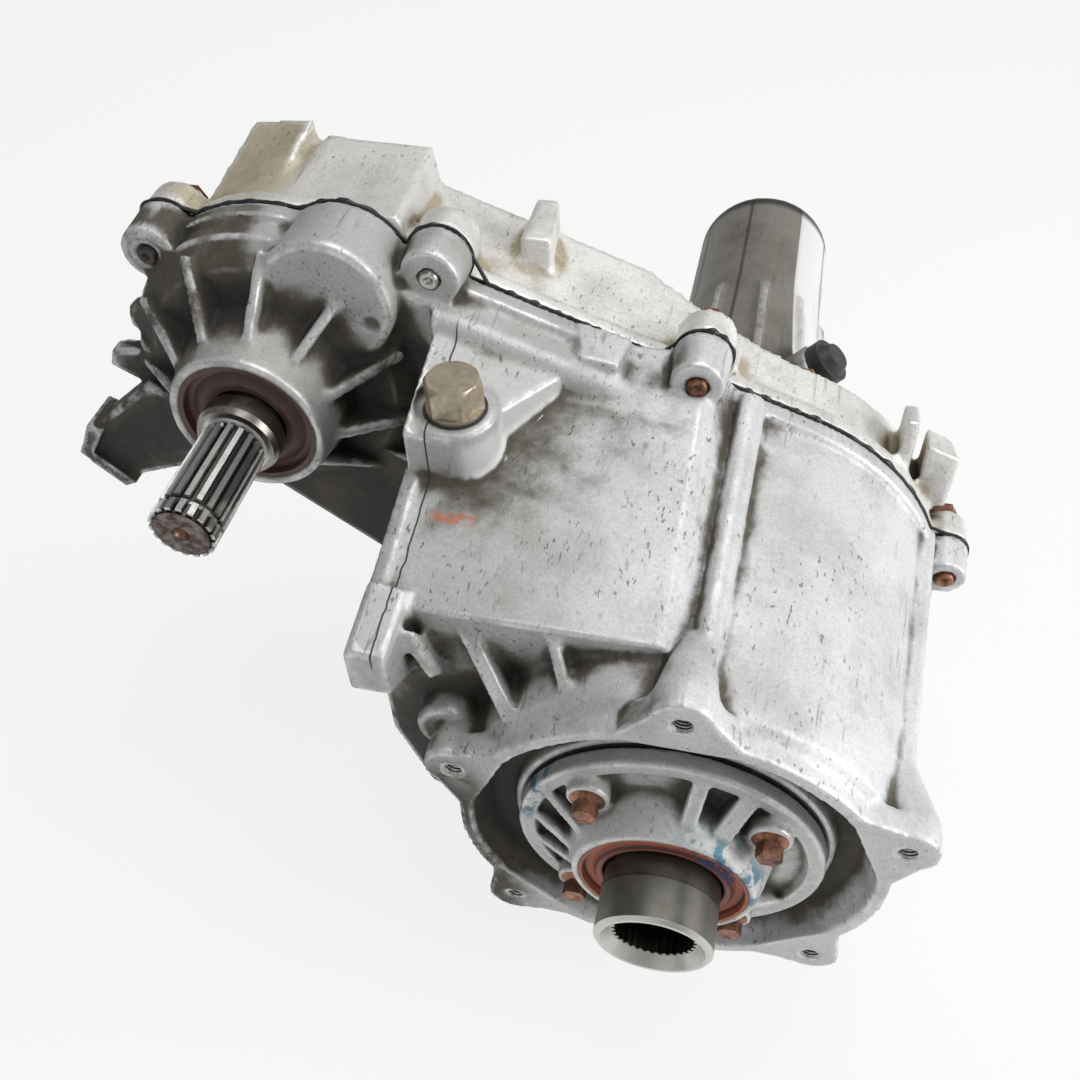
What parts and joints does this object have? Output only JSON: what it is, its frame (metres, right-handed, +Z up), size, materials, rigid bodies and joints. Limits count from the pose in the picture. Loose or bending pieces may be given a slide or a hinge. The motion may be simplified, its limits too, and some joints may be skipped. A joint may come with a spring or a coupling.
{
  "type": "transfer case",
  "caption": "Chain-drive vehicle transfer case: flanged split cast housing with a tail housing, splined input hub, offset splined front output and a planetary low range inside.",
  "frame": {"origin": "centre of the input flange's front face, on the input shaft's axis", "axes": "-Y out of the input flange towards the gearbox, +Y to the rear output, +X right and +Z up as the part is seen, towards the hex plug"},
  "size_m": [0.4746, 0.54, 0.3326],
  "materials": {
    "cast_grey": "sand-cast, weathered",
    "cast_cream": "sand-cast, pale coating",
    "cast_brown": "sand-cast, grimy",
    "sealant_black": "cured bead, satin",
    "hub_steel": "turned, oily",
    "spline_steel": "bright splines",
    "gear_steel": "ground",
    "chain_steel": "oiled",
    "bearing_steel": "ground",
    "fork_aluminium": "die-cast",
    "copper_bolt": "rusty copper-brown",
    "bronze_plug": "yellowed zinc",
    "seal_red": "matt terracotta",
    "seal_maroon": "dark, dusty",
    "seal_black": "matt",
    "bush_bronze": "plain bearing",
    "plastic_black": "moulded",
    "tube_steel": "drawn tube",
    "magnet_grey": "ferrite"
  },
  "bodies": {
    "case": {"front_case": "cast_grey", "rear_case": "cast_cream", "tail_housing": "cast_brown", "case_sealant": "sealant_black", "tail_sealant": "sealant_black", "retainer_sealant": "sealant_black", "input_retainer": "cast_grey", "retainer_bolts": "copper_bolt", "case_screws": "copper_bolt", "tail_screws": "copper_bolt", "annulus_gear": "gear_steel", "input_bearing": "bearing_steel", "bearing_lock_ring": "gear_steel", "input_seal": "seal_red", "rear_bearing": "bearing_steel", "tail_bush": "bush_bronze", "tail_seal": "seal_black", "front_output_bearing": "bearing_steel", "front_output_rear_bearing": "bearing_steel", "front_output_seal": "seal_maroon", "drive_chain": "chain_steel", "shift_rail": "gear_steel", "detent_plug": "bronze_plug", "plug_o_ring": "seal_black", "detent_spring": "gear_steel", "oil_pump_body": "fork_aluminium", "pickup_tube": "tube_steel", "oil_strainer": "plastic_black", "chip_magnet": "magnet_grey", "speed_sensor": "plastic_black"},
    "input": {"input_shaft": "hub_steel", "input_snap_ring": "gear_steel"},
    "carrier": {"planet_carrier": "gear_steel", "planet_pins": "gear_steel"},
    "planet_1": {"planet_gear_1": "gear_steel"},
    "planet_2": {"planet_gear_2": "gear_steel"},
    "planet_3": {"planet_gear_3": "gear_steel"},
    "planet_4": {"planet_gear_4": "gear_steel"},
    "main": {"main_shaft": "gear_steel", "mode_hub": "gear_steel", "sprocket_bush": "bush_bronze", "sprocket_washer": "gear_steel", "oil_pump_rotor": "gear_steel", "tone_wheel": "gear_steel"},
    "range_sleeve": {"range_sleeve": "gear_steel"},
    "mode_sleeve": {"mode_sleeve": "gear_steel"},
    "drive_sprocket": {"drive_sprocket": "gear_steel"},
    "front_output": {"front_output_shaft": "spline_steel", "driven_sprocket": "gear_steel", "slinger_ring": "spline_steel", "output_snap_ring": "gear_steel"},
    "shift_shaft": {"shift_shaft": "gear_steel", "shift_sector": "gear_steel", "shift_lever": "gear_steel", "lever_nut": "gear_steel"},
    "range_fork": {"range_fork": "fork_aluminium"},
    "mode_fork": {"mode_fork": "fork_aluminium"},
    "detent": {"detent_plunger": "gear_steel"}
  },
  "joints": [
    {"name": "input_spin", "type": "hinge", "parent": "case", "child": "input", "pos_m": [0, 0, 0], "axis": [0, 1, 0], "continuous": true},
    {"name": "carrier_spin", "type": "hinge", "parent": "case", "child": "carrier", "pos_m": [0, 0.06, 0], "axis": [0, 1, 0], "continuous": true},
    {"name": "main_spin", "type": "hinge", "parent": "case", "child": "main", "pos_m": [0, 0.2, 0], "axis": [0, 1, 0], "continuous": true},
    {"name": "drive_sprocket_spin", "type": "hinge", "parent": "case", "child": "drive_sprocket", "pos_m": [0, 0.18, 0], "axis": [0, 1, 0], "continuous": true},
    {"name": "front_output_spin", "type": "hinge", "parent": "case", "child": "front_output", "pos_m": [-0.2226, 0.15, 0.1217], "axis": [0, 1, 0], "continuous": true},
    {"name": "range_sleeve_slide", "type": "slide", "parent": "main", "child": "range_sleeve", "axis": [0, 1, 0], "range_m": [0, 0.012]},
    {"name": "mode_sleeve_slide", "type": "slide", "parent": "main", "child": "mode_sleeve", "axis": [0, 1, 0], "range_m": [-0.008, 0]},
    {"name": "shift_turn", "type": "hinge", "parent": "case", "child": "shift_shaft", "pos_m": [-0.112, 0.1, 0], "axis": [0, 0, 1], "range_deg": [0, 22.62]},
    {"name": "range_fork_slide", "type": "slide", "parent": "case", "child": "range_fork", "axis": [0, 1, 0], "range_m": [0, 0.012]},
    {"name": "mode_fork_slide", "type": "slide", "parent": "case", "child": "mode_fork", "axis": [0, 1, 0], "range_m": [-0.008, 0]},
    {"name": "detent_slide", "type": "slide", "parent": "case", "child": "detent", "axis": [0, 0, 1], "range_m": [0, 0.002], "stiffness_N_per_m": 800, "springref_m": -0.004, "deforming": ["detent_spring"]},
    {"name": "planet_1_spin", "type": "hinge", "parent": "carrier", "child": "planet_1", "pos_m": [0.05175, 0.06, 0], "axis": [0, 1, 0], "continuous": true},
    {"name": "planet_2_spin", "type": "hinge", "parent": "carrier", "child": "planet_2", "pos_m": [0, 0.06, 0.05175], "axis": [0, 1, 0], "continuous": true},
    {"name": "planet_3_spin", "type": "hinge", "parent": "carrier", "child": "planet_3", "pos_m": [-0.05175, 0.06, 0], "axis": [0, 1, 0], "continuous": true},
    {"name": "planet_4_spin", "type": "hinge", "parent": "carrier", "child": "planet_4", "pos_m": [0, 0.06, -0.05175], "axis": [0, 1, 0], "continuous": true}
  ],
  "couplings": [
    {"joint": "carrier_spin", "follows": "input_spin", "ratio": 0.36957},
    {"joint": "main_spin", "follows": "input_spin", "ratio": 1},
    {"joint": "drive_sprocket_spin", "follows": "input_spin", "ratio": 1},
    {"joint": "front_output_spin", "follows": "input_spin", "ratio": 1},
    {"joint": "mode_sleeve_slide", "follows": "mode_fork_slide", "ratio": 1},
    {"joint": "range_fork_slide", "follows": "shift_turn", "m_per_rad": 0.030396},
    {"joint": "range_sleeve_slide", "follows": "shift_turn", "m_per_rad": 0.030396},
    {"joint": "planet_1_spin", "follows": "input_spin", "ratio": -1.7862},
    {"joint": "planet_2_spin", "follows": "input_spin", "ratio": -1.7862},
    {"joint": "planet_3_spin", "follows": "input_spin", "ratio": -1.7862},
    {"joint": "planet_4_spin", "follows": "input_spin", "ratio": -1.7862}
  ]
}
